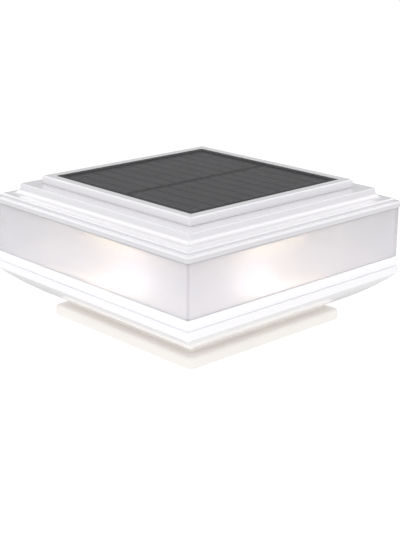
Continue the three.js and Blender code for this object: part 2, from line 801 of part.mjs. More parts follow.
function topCover() {
  const locating = squareBlock(locatingHalf, flangeFoot - LOCATING_RIB, flangeFoot + 1, BODY_CORNER);
  let cover = coverOutline().add(locating).subtract(coverCavity());
  cover = cover.subtract(
    squareSolid(
      [
        [pocketHalf, pocketFloor],
        [pocketHalf, coverTop - EDGE],
        [pocketHalf + EDGE, coverTop],
        [pocketHalf + EDGE, coverTop + 1],
      ],
      PANEL_CORNER,
    ),
  );
  for (const [x, y] of screwSpots) {
    cover = cover.add(post(x, y, bossDiameter, screwBossTop + GAP, coverCeiling + 1));
    cover = cover.subtract(
      post(x, y, SCREW_DIAMETER + 2 * GAP, screwBossTop - 1, screwSeat + CASE_SCREW_LENGTH + 1),
    );
  }
  for (const [x, y] of boardBossSpots) {
    cover = cover.add(post(x, y, BOARD_BOSS_DIAMETER, boardTop + GAP, coverCeiling + 1));
    cover = cover.subtract(
      post(x, y, SCREW_DIAMETER + 2 * GAP, boardTop - 1, boardLow + BOARD_SCREW_LENGTH + 1),
    );
  }
  cover = cover.subtract(
    box(
      -LEAD_SPACING / 2 - LEAD_DIAMETER,
      LEAD_SPACING / 2 + LEAD_DIAMETER,
      LEAD_PORT_Y - LEAD_DIAMETER,
      LEAD_PORT_Y + LEAD_DIAMETER,
      coverCeiling - 1,
      pocketFloor + 1,
    ),
  );
  const groove = squareRing(
    lensHalf - (LENS_WALL - SEAL_WIDTH) / 2 + GAP,
    lensInner + (LENS_WALL - SEAL_WIDTH) / 2 - GAP,
    flangeFoot - 1,
    flangeFoot + SEAL_HEIGHT + GAP,
    BODY_CORNER,
  );
  return cover.subtract(groove);
}

add('top_cover', geometryOf(topCover()), plastic(0xf4f3f6, 0.2));

// ---------------------------------------------------------------- solar panel

const cellPitch = (PANEL_SIDE - 2 * CELL_BORDER) / CELL_COLUMNS;
const cellLength = (PANEL_SIDE - 2 * CELL_BORDER - ROW_GAP) / 2;

// Cells side by side, soldered into one string by a ribbon across their backs.
function cellString(row) {
  const y0 = row < 0 ? -ROW_GAP / 2 - cellLength : ROW_GAP / 2;
  const low = cellTop - CELL_THICKNESS;
  const first = (-CELL_COLUMNS * cellPitch) / 2;
  const middle = y0 + cellLength / 2;
  let string = box(
    first + CELL_GAP,
    -first - CELL_GAP,
    middle - RIBBON_WIDTH / 2,
    middle + RIBBON_WIDTH / 2,
    low,
    low + RIBBON_THICKNESS,
  );
  for (let column = 0; column < CELL_COLUMNS; column += 1) {
    const x0 = first + column * cellPitch + CELL_GAP / 2;
    string = string.add(box(x0, x0 + cellPitch - CELL_GAP, y0, y0 + cellLength, low, cellTop));
  }
  return string;
}

const sheet = squareBlock(panelHalf, sheetTop - SHEET_THICKNESS, sheetTop, PANEL_CORNER);
const backing = squareBlock(panelHalf, backingTop - BACKING_THICKNESS, backingTop, PANEL_CORNER);
const adhesiveHalf = panelHalf - ADHESIVE_INSET;
const adhesive = squareRing(
  adhesiveHalf,
  adhesiveHalf - ADHESIVE_WIDTH,
  adhesiveTop - ADHESIVE_THICKNESS,
  adhesiveTop,
  PANEL_CORNER,
);

add('panel_cover_sheet', geometryOf(sheet), plastic(0x3b3c40, 0.1));
add('cell_string_front', geometryOf(cellString(-1)), plastic(0x4a4b50, 0.3));
add('cell_string_back', geometryOf(cellString(1)), plastic(0x4a4b50, 0.3));
add('panel_backing', geometryOf(backing), plastic(0x1d1d20, 0.5));
add('panel_adhesive', geometryOf(adhesive), plastic(0xe6e4df, 0.9));

// ---------------------------------------------------------------- lamp boards and LEDs

const lampBoardTop = reflectorTop - LAMP_BOARD_DROP;
const lampBoardZ = lampBoardTop - LAMP_BOARD_HEIGHT / 2;
const lampBoardY = -reflectorHalf - GAP - LAMP_BOARD_THICKNESS / 2;
const ledY = lampBoardY - LAMP_BOARD_THICKNESS / 2 - GAP - LED_SIZE[1] / 2;
const sides = ['front', 'right', 'back', 'left'];

// Each lamp board is made as the front one, in a group that turns it to its own side.
sides.forEach((side, turn) => {
  const arm = new THREE.Group();
  arm.rotation.z = (turn * Math.PI) / 2;
  group.add(arm);
  const boardGeometry = new THREE.BoxGeometry(LAMP_BOARD_LENGTH, LAMP_BOARD_THICKNESS, LAMP_BOARD_HEIGHT);
  const board = add(`lamp_board_${side}`, boardGeometry, plastic(0xe9ecea, 0.5), arm);
  board.position.set(0, lampBoardY, lampBoardZ);
  for (let i = 0; i < LEDS_PER_BOARD; i += 1) {
    const led = add(`led_${side}_${i + 1}`, new THREE.BoxGeometry(...LED_SIZE), plastic(0xffe9b0, 0.3), arm);
    led.position.set((i - (LEDS_PER_BOARD - 1) / 2) * LED_PITCH, ledY, lampBoardZ);
  }
});

// ---------------------------------------------------------------- control board and its parts

function controlBoard() {
  const [width, depth] = BOARD_SIZE;
  let board = box(
    -width / 2,
    width / 2,
    BOARD_CENTRE_Y - depth / 2,
    BOARD_CENTRE_Y + depth / 2,
    boardLow,
    boardTop,
  );
  for (const [x, y] of boardBossSpots) {
    board = board.subtract(post(x, y, SCREW_DIAMETER + 2 * GAP, boardLow - 1, boardTop + 1, 12));
  }
  return board;
}

const partFoot = boardTop + GAP;
const chipSize = [5, 4, 1.6];
const inductorDiameter = 7;
const inductorHeight = 4.6;
const capacitorDiameter = 6.3;
const connectorSize = [8, 5, 4.6];
const connectorY = LEAD_PORT_Y;

function blockPart(size, x, y) {
  const [width, depth, height] = size;
  return box(x - width / 2, x + width / 2, y - depth / 2, y + depth / 2, partFoot, partFoot + height);
}

function inductor(x, y) {
  const waist = inductorDiameter * 0.8;
  const flange = 0.9;
  const high = partFoot + inductorHeight;
  const foot = post(x, y, inductorDiameter, partFoot, partFoot + flange, 16);
  const core = post(x, y, waist, partFoot + flange / 2, high - flange / 2, 16);
  const head = post(x, y, inductorDiameter, high - flange, high, 16);
  return foot.add(core).add(head);
}

add('control_board', geometryOf(controlBoard()), plastic(0x1f6a3c, 0.45));
add('driver_chip', geometryOf(blockPart(chipSize, 2, 2)), plastic(0x17181a, 0.4));
add('inductor', geometryOf(inductor(12, 1)), plastic(0x2b2c2f, 0.5));
add(
  'capacitor',
  geometryOf(post(-11, 1, capacitorDiameter, partFoot, partFoot + CAPACITOR_HEIGHT, 18)),
  metal(0xb9bdc3, 0.3),
);
add('panel_connector', geometryOf(blockPart(connectorSize, 0, connectorY)), plastic(0xefece2, 0.45));

// ---------------------------------------------------------------- screws

// A pan-head screw that points up from the underside of its head's seat.
function screwGeometry(length) {
  const head = SCREW_HEAD_DIAMETER / 2;
  const shank = SCREW_DIAMETER / 2;
  const outline = [
    [0, -SCREW_HEAD_HEIGHT],
    [head - EDGE, -SCREW_HEAD_HEIGHT],
    [head, -SCREW_HEAD_HEIGHT + EDGE],
    [head, 0],
    [shank, 0],
    [shank, length - 2 * shank],
    [0, length],
  ];
  const geometry = new THREE.LatheGeometry(outline.map(([r, y]) => new THREE.Vector2(r, y)), 14);
  geometry.rotateX(Math.PI / 2);
  return geometry;
}

screwSpots.forEach(([x, y], i) => {
  const screw = add(`case_screw_${i + 1}`, screwGeometry(CASE_SCREW_LENGTH), metal(0xc2c5c9, 0.3));
  screw.position.set(x, y, screwSeat - GAP);
});

boardBossSpots.forEach(([x, y], i) => {
  const screw = add(`board_screw_${i + 1}`, screwGeometry(BOARD_SCREW_LENGTH), metal(0xc2c5c9, 0.3));
  screw.position.set(x, y, boardLow - GAP);
});

// ---------------------------------------------------------------- leads

const red = plastic(0xb02a26, 0.45);
const black = plastic(0x1b1b1d, 0.45);
const white = plastic(0xe8e6e0, 0.45);
const connectorTop = partFoot + connectorSize[2];
const leadRadius = LEAD_DIAMETER / 2;

function panelLead(x) {
  return leadAlong(
    [
      [x, LEAD_PORT_Y, adhesiveTop - GAP],
      [x, LEAD_PORT_Y, coverCeiling],
      [x, LEAD_PORT_Y + 0.6, (coverCeiling + connectorTop) / 2],
      [x, connectorY, connectorTop + GAP],
    ],
    8,
  );
}

// From a solder tab on the battery tray to the underside of the control board.
function batteryLead(x, side) {
  const end = side * (BOARD_SIZE[0] / 2 - 8);
  const rise = leadRoom / 5;
  return leadAlong([
    [x, BATTERY_Y, tabTop + GAP],
    [x, BATTERY_Y, tabTop + rise],
    [(x + end) / 2, BATTERY_Y + 5, tabTop + leadRoom / 2],
    [end, BATTERY_Y + 9, boardLow - rise],
    [end, BATTERY_Y + 9, boardLow - GAP],
  ]);
}

function switchLead() {
  const top = switchFoot + SWITCH_BODY_HEIGHT;
  return leadAlong([
    [switchX, switchY, top + GAP],
    [switchX, switchY, top + 3],
    [switchX - 3, switchY - 8, (top + boardLow) / 2],
    [switchX - 5, switchY - 14, boardLow - 3],
    [switchX - 5, switchY - 14, boardLow - GAP],
  ]);
}

// From the top edge of the front lamp board, through the reflector wall, down to the control board.
function lampLead(landing) {
  const outside = -reflectorHalf - GAP - leadRadius;
  const inside = -reflectorHalf + REFLECTOR_WALL + 4;
  return leadAlong(
    [
      [0, outside - GAP, lampBoardTop + GAP],
      [0, outside - GAP, lampBoardTop + 2.4],
      [0, outside + 1.2, lampHoleZ],
      [0, inside, lampHoleZ],
      [LAMP_LEAD_SHIFT, landing - 3, lampHoleZ - 1],
      [LAMP_LEAD_SHIFT, landing, boardTop + 2],
      [LAMP_LEAD_SHIFT, landing, boardTop + GAP],
    ],
    20,
  );
}

const leadX = LEAD_SPACING / 2;
add('panel_lead_red', panelLead(leadX), red);
add('panel_lead_black', panelLead(-leadX), black);
add('battery_lead_red', batteryLead(plusX + CONTACT_THICKNESS / 2, 1), red);
add('battery_lead_black', batteryLead(minusX + CONTACT_THICKNESS / 2, -1), black);
add('switch_lead', switchLead(), white);

// Where each lamp lead lands on the board, measured inwards from the centre of the object.
const boardMargin = 1.6;
const landings = {
  front: BOARD_CENTRE_Y - BOARD_SIZE[1] / 2 + boardMargin,
  right: -BOARD_SIZE[0] / 2 + boardMargin,
  back: -BOARD_CENTRE_Y - BOARD_SIZE[1] / 2 + boardMargin,
  left: -BOARD_SIZE[0] / 2 + boardMargin,
};
sides.forEach((side, turn) => {
  const lead = add(`lamp_lead_${side}`, lampLead(landings[side]), white);
  lead.rotation.z = (turn * Math.PI) / 2;
});

export default group;
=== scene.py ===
"""A square solar post-cap light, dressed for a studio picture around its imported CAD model.

Lengths are metres in the CAD model's frame: +Z is up, and the origin is the middle of the mounting
plate's underside. Overall sizes come from the boxes of the CAD nodes, and walls, gaps and steps are
named below.
"""

import json
import math

import bmesh
import bpy
from mathutils import Matrix, Vector


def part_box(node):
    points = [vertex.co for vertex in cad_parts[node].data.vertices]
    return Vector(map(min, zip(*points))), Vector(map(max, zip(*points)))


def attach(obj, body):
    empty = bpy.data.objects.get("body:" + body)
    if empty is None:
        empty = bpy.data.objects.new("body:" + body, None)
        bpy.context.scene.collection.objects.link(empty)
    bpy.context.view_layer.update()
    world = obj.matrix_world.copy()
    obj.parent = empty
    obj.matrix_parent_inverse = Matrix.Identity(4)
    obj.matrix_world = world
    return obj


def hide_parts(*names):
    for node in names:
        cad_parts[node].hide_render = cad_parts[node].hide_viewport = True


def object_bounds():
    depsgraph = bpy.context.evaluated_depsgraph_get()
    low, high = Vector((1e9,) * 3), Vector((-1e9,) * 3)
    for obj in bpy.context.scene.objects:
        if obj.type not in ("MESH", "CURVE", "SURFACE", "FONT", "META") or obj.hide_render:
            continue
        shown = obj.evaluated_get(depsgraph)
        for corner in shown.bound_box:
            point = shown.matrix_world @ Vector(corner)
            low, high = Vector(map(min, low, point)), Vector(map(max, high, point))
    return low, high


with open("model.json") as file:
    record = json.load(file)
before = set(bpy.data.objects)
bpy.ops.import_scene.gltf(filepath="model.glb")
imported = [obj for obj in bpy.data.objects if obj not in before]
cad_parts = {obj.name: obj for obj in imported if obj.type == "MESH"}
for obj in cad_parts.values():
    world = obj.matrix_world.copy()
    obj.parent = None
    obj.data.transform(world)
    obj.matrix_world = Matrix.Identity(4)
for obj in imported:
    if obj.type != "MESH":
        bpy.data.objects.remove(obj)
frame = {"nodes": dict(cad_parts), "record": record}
cad_low, cad_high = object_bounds()

MM = 0.001

# ------------------------------------------------------------------ mesh tools

CORNER_STEPS = 10  # facets in a quarter turn of a rounded corner
ARC_STEPS = 8  # facets in a rounded edge
ROD_SIDES = 32
BUTTON_SIDES = 48
SHARP_ANGLE = math.radians(32)
LEAST_CORNER = 0.5 * MM  # corner radius that no ring goes below
WELD = 0.002 * MM  # points closer than this become one after a cut


def square_points(half, radius, height):
    """One rounded square, anticlockwise, as points at one height."""
    points = []
    for corner in range(4):
        x = (half - radius) * (1 if corner in (0, 3) else -1)
        y = (half - radius) * (1 if corner < 2 else -1)
        for step in range(CORNER_STEPS + 1):
            angle = (corner + step / CORNER_STEPS) * math.pi / 2
            points.append((x + radius * math.cos(angle), y + radius * math.sin(angle), height))
    return points


def arc(start, control, end, steps=ARC_STEPS):
    """Section points of a smooth curve that leaves start and reaches end by way of control."""
    points = []
    for step in range(steps + 1):
        t = step / steps
        weights = ((1 - t) ** 2, 2 * t * (1 - t), t**2)
        half = weights[0] * start[0] + weights[1] * control[0] + weights[2] * end[0]
        height = weights[0] * start[1] + weights[1] * control[1] + weights[2] * end[1]
        points.append((half, height))
    return points


def new_piece(name, mesh, material, body, nodes):
    """Make a finished piece from a bmesh: smooth faces, crisp edges, its material and its body."""
    bmesh.ops.recalc_face_normals(mesh, faces=mesh.faces)
    data = bpy.data.meshes.new(name)
    mesh.to_mesh(data)
    mesh.free()
    data.shade_smooth()
    data.set_sharp_from_angle(angle=SHARP_ANGLE)
    data.materials.append(material)
    piece = bpy.data.objects.new(name, data)
    bpy.context.scene.collection.objects.link(piece)
    weighted = piece.modifiers.new("weighted", "WEIGHTED_NORMAL")
    weighted.keep_sharp = True
    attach(piece, body)
    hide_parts(*nodes)


def square_turned(section, corner, capped):
    """A bmesh whose section of (half width, height) points runs round a square.

    The corner radius shrinks with the ring, by half of what the ring lies inside the widest one. A
    capped section starts and ends on a flat face across the middle. Otherwise it closes on itself.
    """
    widest = max(half for half, _ in section)
    mesh = bmesh.new()
    rings = []
    for half, height in section:
        radius = max(corner - (widest - half) / 2, LEAST_CORNER)
        rings.append([mesh.verts.new(point) for point in square_points(half, radius, height)])
    count = len(rings[0])
    pairs = list(zip(rings, rings[1:]))
    if capped:
        mesh.faces.new(rings[0])
        mesh.faces.new(rings[-1])
    else:
        pairs.append((rings[-1], rings[0]))
    for ring, after in pairs:
        for i in range(count):
            j = (i + 1) % count
            mesh.faces.new((ring[i], ring[j], after[j], after[i]))
    return mesh


def box_mesh(low, high):
    """A bmesh box between two corners."""
    mesh = bmesh.new()
    bmesh.ops.create_cube(mesh, size=1.0)
    for vert in mesh.verts:
        vert.co = Vector(low[i] + (high[i] - low[i]) * (vert.co[i] + 0.5) for i in range(3))
    return mesh


def rod_mesh(middle, radius, length, axis="Z", sides=ROD_SIDES):
    """A bmesh round rod about one axis."""
    mesh = bmesh.new()
    turns = {
        "X": Matrix.Rotation(math.pi / 2, 4, "Y"),
        "Y": Matrix.Rotation(math.pi / 2, 4, "X"),
        "Z": Matrix(),
    }
    place = Matrix.Translation(middle) @ turns[axis]
    bmesh.ops.create_cone(
        mesh, cap_ends=True, segments=sides, radius1=radius, radius2=radius, depth=length, matrix=place
    )
    return mesh


def as_object(mesh):
    """A scene object that holds a bmesh, for the boolean steps. It uses the bmesh up."""
    bmesh.ops.recalc_face_normals(mesh, faces=mesh.faces)
    data = bpy.data.meshes.new("solid")
    mesh.to_mesh(data)
    mesh.free()
    solid = bpy.data.objects.new("solid", data)
    bpy.context.scene.collection.objects.link(solid)
    return solid


def carve(mesh, steps):
    """A bmesh after each (operation, other bmesh) step: UNION joins and DIFFERENCE cuts."""
    solid = as_object(mesh)
    for operation, other in steps:
        tool = as_object(other)
        modifier = solid.modifiers.new("boolean", "BOOLEAN")
        modifier.operation = operation
        modifier.solver = "EXACT"
        modifier.object = tool
        graph = bpy.context.evaluated_depsgraph_get()
        result = bpy.data.meshes.new_from_object(solid.evaluated_get(graph))
        solid.modifiers.clear()
        solid.data = result
        bpy.data.objects.remove(tool)
    carved = bmesh.new()
    carved.from_mesh(solid.data)
    bpy.data.objects.remove(solid)
    bmesh.ops.remove_doubles(carved, verts=carved.verts, dist=WELD)
    return carved


# ------------------------------------------------------------------ material tools


class Nodes:
    """A small helper that adds nodes to one material and joins them by name."""

    def __init__(self, tree):
        self.tree = tree

    def add(self, kind, **values):
        node = self.tree.nodes.new(kind)
        for name, value in values.items():
            setattr(node, name, value)
        return node

    def join(self, source, target):
        self.tree.links.new(source, target)

    def object_place(self):
        return self.add("ShaderNodeTexCoord").outputs["Object"]

    def noise(self, place, scale, detail=2.0):
        """Soft noise whose scale is in features per metre."""
        node = self.add("ShaderNodeTexNoise")
        node.inputs["Scale"].default_value = scale
        node.inputs["Detail"].default_value = detail
        self.join(place, node.inputs["Vector"])
        return node.outputs["Fac"]

    def ramp(self, factor, low, high, from_low=0.3, from_high=0.7):
        """A number that runs from low to high as factor runs across its own range."""
        node = self.add("ShaderNodeMapRange")
        node.inputs["From Min"].default_value = from_low
        node.inputs["From Max"].default_value = from_high
        node.inputs["To Min"].default_value = low
        node.inputs["To Max"].default_value = high
        self.join(factor, node.inputs["Value"])
        return node.outputs["Result"]

    def smooth(self, factor, low, high, from_low, from_high):
        """A number that eases from low to high as factor runs across its own range."""
        result = self.ramp(factor, low, high, from_low, from_high)
        result.node.interpolation_type = "SMOOTHSTEP"
        return result

    def colours(self, factor, first, second):
        """A colour between two others."""
        node = self.add("ShaderNodeMix", data_type="RGBA")
        node.inputs[6].default_value = (*first, 1)
        node.inputs[7].default_value = (*second, 1)
        self.join(factor, node.inputs[0])
        return node.outputs[2]

    def axes(self, place):
        """The x, y and z of a place."""
        node = self.add("ShaderNodeSeparateXYZ")
        self.join(place, node.inputs["Vector"])
        return node.outputs["X"], node.outputs["Y"], node.outputs["Z"]

    def shaded(self, colour, amount):
        """A colour times a number."""
        node = self.add("ShaderNodeVectorMath", operation="SCALE")
        self.join(colour, node.inputs[0])
        self.join(amount, node.inputs["Scale"])
        return node.outputs[0]

    def math(self, operation, first, second=None, third=None):
        """One sum on numbers or on other nodes' results."""
        node = self.add("ShaderNodeMath", operation=operation)
        for index, value in enumerate((first, second, third)):
            if value is None:
                continue
            if isinstance(value, (int, float)):
                node.inputs[index].default_value = value
            else:
                self.join(value, node.inputs[index])
        return node.outputs[0]

    def bump(self, height, distance):
        """The normal of a surface whose fine relief is distance high."""
        node = self.add("ShaderNodeBump")
        node.inputs["Distance"].default_value = distance
        self.join(height, node.inputs["Height"])
        return node.outputs["Normal"]


def new_material(name):
    """A new node material, its helper, its main shader and its output."""
    material = bpy.data.materials.new(name)
    material.use_nodes = True
    tree = material.node_tree
    tree.nodes.clear()
    nodes = Nodes(tree)
    shader = nodes.add("ShaderNodeBsdfPrincipled")
    output = nodes.add("ShaderNodeOutputMaterial")
    nodes.join(shader.outputs["BSDF"], output.inputs["Surface"])
    return material, nodes, shader, output


def tint(colour, factor):
    """A colour times a number, with no channel over 1."""
    return tuple(min(1.0, channel * factor) for channel in colour)


def moulded(
    name,
    colour,
    rough,
    spread=0.05,
    patch=0.03,
    grain=1200.0,
    relief=0.004 * MM,
    shine=0.5,
    coat=0.0,
    shade=None,
    glow=None,
):
    """Moulded plastic: faint flow patches in its colour and gloss, and a very fine surface grain.

    Its shade is (height, ease, factor): painted shade, a greyer colour under one height. Its glow is
    (colour, strength, low, high): painted light, an emission that fades between the two heights.
    """
    material, nodes, shader, _ = new_material(name)
    place = nodes.object_place()
    _, _, height = nodes.axes(place)
    patches = nodes.noise(place, 38.0, 3.0)
    base = nodes.colours(patches, tint(colour, 1 - patch), tint(colour, 1 + patch))
    # painted shade: the colour is greyer under one height
    if shade:
        line, ease, factor = shade
        base = nodes.shaded(base, nodes.smooth(height, factor, 1.0, line - ease, line))
    nodes.join(base, shader.inputs["Base Color"])
    # painted light: an emission between two heights, on plastic that is no lamp
    if glow:
        light, strength, low, high = glow
        shader.inputs["Emission Color"].default_value = (*light, 1)
        nodes.join(nodes.smooth(height, strength, 0.0, low, high), shader.inputs["Emission Strength"])
    wear = nodes.noise(place, 160.0, 4.0)
    nodes.join(nodes.ramp(wear, rough - spread, rough + spread), shader.inputs["Roughness"])
    nodes.join(nodes.bump(nodes.noise(place, grain, 2.0), relief), shader.inputs["Normal"])
    shader.inputs["Specular IOR Level"].default_value = shine
    shader.inputs["Coat Weight"].default_value = coat
    shader.inputs["Coat Roughness"].default_value = 0.08
    return material


def metal(name, colour, rough, grain=2600.0, relief=0.006 * MM):
    """Plated or drawn metal with fine scratches."""
    material, nodes, shader, _ = new_material(name)
    place = nodes.object_place()
    streaks = nodes.noise(place, grain, 5.0)
    nodes.join(nodes.colours(streaks, tint(colour, 0.85), tint(colour, 1.1)), shader.inputs["Base Color"])
    nodes.join(nodes.ramp(streaks, rough * 0.7, rough * 1.4), shader.inputs["Roughness"])
    nodes.join(nodes.bump(streaks, relief), shader.inputs["Normal"])
    shader.inputs["Metallic"].default_value = 1.0
    return material


def lens_material():
    """Clouded plastic, nearly solid white at its foot and clearer above, with painted light and shade:
    brighter at the foot, darker at the top, a dark fine line and dark corners.
    """
    material, nodes, shader, output = new_material("lens_frost")
    low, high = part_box("lens")
    line = low.z + LIP_LINE
    place = nodes.object_place()
    x, y, height = nodes.axes(place)
    cloud = nodes.noise(place, 25.0, 3.0)
    base = nodes.colours(cloud, tint(LENS_COLOUR, 0.985), tint(LENS_COLOUR, 1.01))
    # painted shade: a dark fine line round the lens
    off_line = nodes.math("ABSOLUTE", nodes.math("SUBTRACT", height, line))
    base = nodes.shaded(base, nodes.smooth(off_line, LINE_PAINTED_SHADE, 1.0, LINE_CORE, LINE_EDGE))
    # painted light and shade: brighter at the foot, darker towards the top
    base = nodes.shaded(base, nodes.ramp(height, LENS_FOOT_PAINTED_SHADE, LENS_TOP_PAINTED_SHADE, low.z, high.z))
    # painted shade: the lens darkens at its corners, less below the fine line
    least = nodes.math("MINIMUM", nodes.math("ABSOLUTE", x), nodes.math("ABSOLUTE", y))
    corner = nodes.smooth(least, 0.0, 1.0, high.x - CORNER_START, high.x - CORNER_END)
    over_line = nodes.smooth(height, FOOT_CORNER, 1.0, line - CORNER_EASE, line + CORNER_EASE)
    corner = nodes.math("MULTIPLY", corner, over_line)
    base = nodes.shaded(base, nodes.ramp(corner, 1.0, CORNER_PAINTED_SHADE, 0.0, 1.0))
    nodes.join(base, shader.inputs["Base Color"])
    clear = nodes.smooth(height, FOOT_CLARITY, LENS_CLARITY, line - LINE_CORE, line + LINE_CORE)
    nodes.join(clear, shader.inputs["Transmission Weight"])
    nodes.join(nodes.ramp(cloud, 0.21, 0.23), shader.inputs["Roughness"])
    shader.inputs["IOR"].default_value = 1.3
    shader.inputs["Coat Weight"].default_value = 0.6
    shader.inputs["Coat Roughness"].default_value = 0.04
    path = nodes.add("ShaderNodeLightPath")
    passing = nodes.add("ShaderNodeBsdfTransparent")
    passing.inputs["Color"].default_value = (*tint(LENS_COLOUR, LENS_PASS), 1)
    mix = nodes.add("ShaderNodeMixShader")
    nodes.join(path.outputs["Is Shadow Ray"], mix.inputs[0])
    nodes.join(shader.outputs["BSDF"], mix.inputs[1])
    nodes.join(passing.outputs["BSDF"], mix.inputs[2])
    nodes.join(mix.outputs["Shader"], output.inputs["Surface"])
    return material


def veil(name, colour, cover, rough, clear_half):
    """A clear laminate: a faint haze and sheen over what lies beneath it, and a dark printed border."""
    material, nodes, shader, _ = new_material(name)
    place = nodes.object_place()
    haze = nodes.noise(place, 70.0, 4.0)
    x, y, _ = nodes.axes(place)
    out = nodes.math("MAXIMUM", nodes.math("ABSOLUTE", x), nodes.math("ABSOLUTE", y))
    border = nodes.smooth(out, 0.0, 1.0, clear_half, clear_half + BORDER_EASE)
    base = nodes.colours(haze, tint(colour, 0.95), tint(colour, 1.05))
    base = nodes.shaded(base, nodes.ramp(border, 1.0, BORDER_SHADE, 0.0, 1.0))
    nodes.join(base, shader.inputs["Base Color"])
    nodes.join(nodes.ramp(haze, rough * 0.9, rough * 1.1), shader.inputs["Roughness"])
    nodes.join(nodes.bump(nodes.noise(place, 900.0), 0.004 * MM), shader.inputs["Normal"])
    nodes.join(nodes.ramp(border, cover, 1.0, 0.0, 1.0), shader.inputs["Alpha"])
    nodes.join(nodes.ramp(border, 0.5, BORDER_SHINE, 0.0, 1.0), shader.inputs["Specular IOR Level"])
    return material


# ------------------------------------------------------------------ the object's materials

WHITE = (0.82, 0.81, 0.835)
HOUSING = (0.91, 0.90, 0.915)
IVORY = (0.87, 0.84, 0.80)
LENS_COLOUR = (0.955, 0.955, 0.99)
LENS_PASS = 0.96  # share of a lamp's light that passes the lens
LENS_CLARITY = 0.6
FOOT_CLARITY = 0.08  # the lens's foot is nearly solid white
# painted light and shade: the lens is brighter at its foot and darker at its top, under the flange
LENS_FOOT_PAINTED_SHADE = 1.04
LENS_TOP_PAINTED_SHADE = 0.95
LIP_LINE = 5.2 * MM  # the fine line round the lens, above its foot
# painted shade along the fine line round the lens
LINE_PAINTED_SHADE = 0.68
LINE_CORE = 0.1 * MM
LINE_EDGE = 0.3 * MM
CORNER_START = 1.5 * MM  # painted shade: the lens darkens from this far inside its side, at each corner
CORNER_END = 0.6 * MM
CORNER_PAINTED_SHADE = 0.8
CORNER_EASE = 0.2 * MM
FOOT_CORNER = 0.25  # how much of that darkening is left below the line
FLANGE_LINE = 2.7 * MM  # painted shade: the flange's side is greyer up to this height above its foot
# painted light on the reflector tray: the colours, place and strength of its emission
PAINTED_LIGHT_WARM = (1.0, 0.84, 0.66)
PAINTED_LIGHT_COOL = (0.94, 0.92, 1.0)
PAINTED_GLOW_REACH = 34 * MM  # a glow's centre lies this far out beyond half the length of a lamp board
PAINTED_GLOW_RISE = 6 * MM  # and this far above the tray's underside
PAINTED_GLOW_CORE = 6 * MM  # it is at its full strength this near its centre
PAINTED_GLOW_EDGE = 26 * MM  # and gone this far away
PAINTED_GLOW_STRENGTH = 0.4
PAINTED_GLOW_FLOOR = 0.15
PAINTED_GLOW_SHIFT = -10 * MM  # along each side, towards the front left corner
WARM_DEPTH = 12 * MM  # the light turns from warm to cool over this depth below the lamp boards
CELL_COLUMNS = 11
CELL_GAP = 0.5 * MM
CELL_EDGE = 1.3 * MM  # a strip darkens this close to the line between strips
CELL_EDGE_SHADE = 0.08
BORDER_EASE = 0.4 * MM  # the panel's dark border starts this softly beyond the cells
BORDER_SHADE = 0.5
BORDER_SHINE = 0.04
CELL_SHINE = 0.15
BAND_SCALE = 31.25  # puts the pale bands across the strips about 10 mm apart
BAND_STRENGTH = 0.22
LED_GLOW = 40.0


def reflector_material():
    """White tray with painted light: an emission brightest below each lamp board and fading towards the
    corners.
    """
    material, nodes, shader, _ = new_material("reflector_white")
    place = nodes.object_place()
    board_low, board_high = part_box("lamp_board_front")
    tray_low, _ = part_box("reflector")
    x, y, z = nodes.axes(place)
    across = nodes.math("ABSOLUTE", x)
    deep = nodes.math("ABSOLUTE", y)
    shifted = [nodes.math("ABSOLUTE", nodes.math("SUBTRACT", value, PAINTED_GLOW_SHIFT)) for value in (x, y)]
    sideways = nodes.math("MINIMUM", *shifted)
    outwards = nodes.math("SUBTRACT", nodes.math("MAXIMUM", across, deep), board_high.x + PAINTED_GLOW_REACH)
    height = nodes.math("SUBTRACT", z, tray_low.z + PAINTED_GLOW_RISE)
    squares = [nodes.math("POWER", value, 2.0) for value in (sideways, outwards, height)]
    distance = nodes.math("SQRT", nodes.math("ADD", nodes.math("ADD", squares[0], squares[1]), squares[2]))
    # painted light: a pool of emission below each lamp board, warm near the boards and cool below
    glow = nodes.smooth(distance, 1.0, 0.0, PAINTED_GLOW_CORE, PAINTED_GLOW_EDGE)
    painted_warmth = nodes.smooth(z, 0.0, 1.0, board_low.z - WARM_DEPTH, board_low.z)
    nodes.join(nodes.colours(painted_warmth, PAINTED_LIGHT_COOL, PAINTED_LIGHT_WARM), shader.inputs["Emission Color"])
    strength = nodes.math("ADD", nodes.math("MULTIPLY", glow, PAINTED_GLOW_STRENGTH), PAINTED_GLOW_FLOOR)
    nodes.join(strength, shader.inputs["Emission Strength"])
    patches = nodes.noise(place, 60.0, 3.0)
    nodes.join(nodes.colours(patches, (0.85, 0.84, 0.88), (0.9, 0.89, 0.93)), shader.inputs["Base Color"])
    nodes.join(nodes.ramp(patches, 0.4, 0.55), shader.inputs["Roughness"])
    nodes.join(nodes.bump(nodes.noise(place, 1500.0), 0.01 * MM), shader.inputs["Normal"])
    return material


def led_material():
    """Yellow phosphor, lit."""
    material, nodes, shader, _ = new_material("led_warm")
    place = nodes.object_place()
    speckle = nodes.noise(place, 1800.0, 2.0)
    nodes.join(nodes.colours(speckle, (1.0, 0.76, 0.3), (1.0, 0.86, 0.5)), shader.inputs["Base Color"])
    nodes.join(nodes.ramp(speckle, 0.25, 0.4), shader.inputs["Roughness"])
    shader.inputs["Emission Color"].default_value = (1.0, 0.78, 0.45, 1)
    shader.inputs["Emission Strength"].default_value = LED_GLOW
    return material


